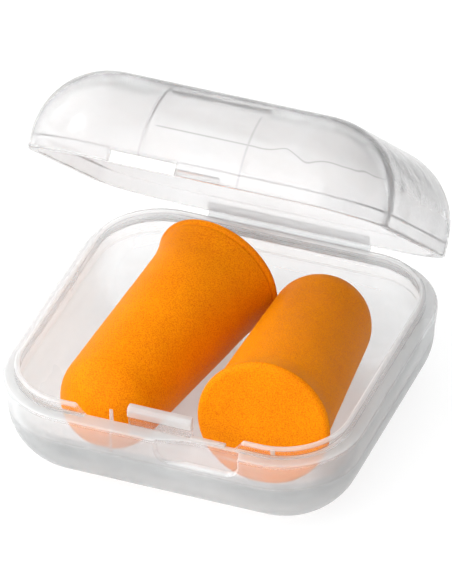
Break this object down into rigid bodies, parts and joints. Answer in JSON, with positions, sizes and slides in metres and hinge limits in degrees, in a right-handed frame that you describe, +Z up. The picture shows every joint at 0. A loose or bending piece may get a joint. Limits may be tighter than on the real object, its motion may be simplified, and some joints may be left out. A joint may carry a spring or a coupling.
{
  "type": "foam ear plugs in a hinged case",
  "caption": "Pair of tapered foam ear plugs with flared bases, lying head to tail in a small square translucent case with a living-hinge lid and snap catch.",
  "frame": {"origin": "middle of the flat underside of the tray", "axes": "+Z up, -Y towards the front, where the catch is, +X to the right seen from the front; the hinge line runs along X at the back"},
  "size_m": [0.035, 0.0367, 0.036],
  "materials": {
    "frosted_plastic": "satin",
    "hinge_plastic": "satin",
    "clear_plastic": "gloss",
    "foam": "matte"
  },
  "bodies": {
    "tray": {"tray_shell": "frosted_plastic", "locating_lip": "frosted_plastic", "catch_tongue": "frosted_plastic", "tray_hinge_leaf": "frosted_plastic", "hinge_film": "hinge_plastic"},
    "lid": {"lid_shell": "clear_plastic", "lid_hinge_leaf": "clear_plastic", "latch_bar": "clear_plastic"},
    "left_plug": {"left_plug": "foam"},
    "right_plug": {"right_plug": "foam"}
  },
  "joints": [
    {"name": "lid_hinge", "type": "hinge", "parent": "tray", "child": "lid", "pos_m": [0, 0.0174, 0.0092], "axis": [-1, 0, 0], "range_deg": [-43, 137], "deforming": ["hinge_film"]},
    {"name": "left_plug_draw", "type": "slide", "parent": "tray", "child": "left_plug", "axis": [0, -0.7071, 0.7071], "range_m": [0, 0.078]},
    {"name": "right_plug_draw", "type": "slide", "parent": "tray", "child": "right_plug", "axis": [0, -0.7071, 0.7071], "range_m": [0, 0.078]}
  ]
}
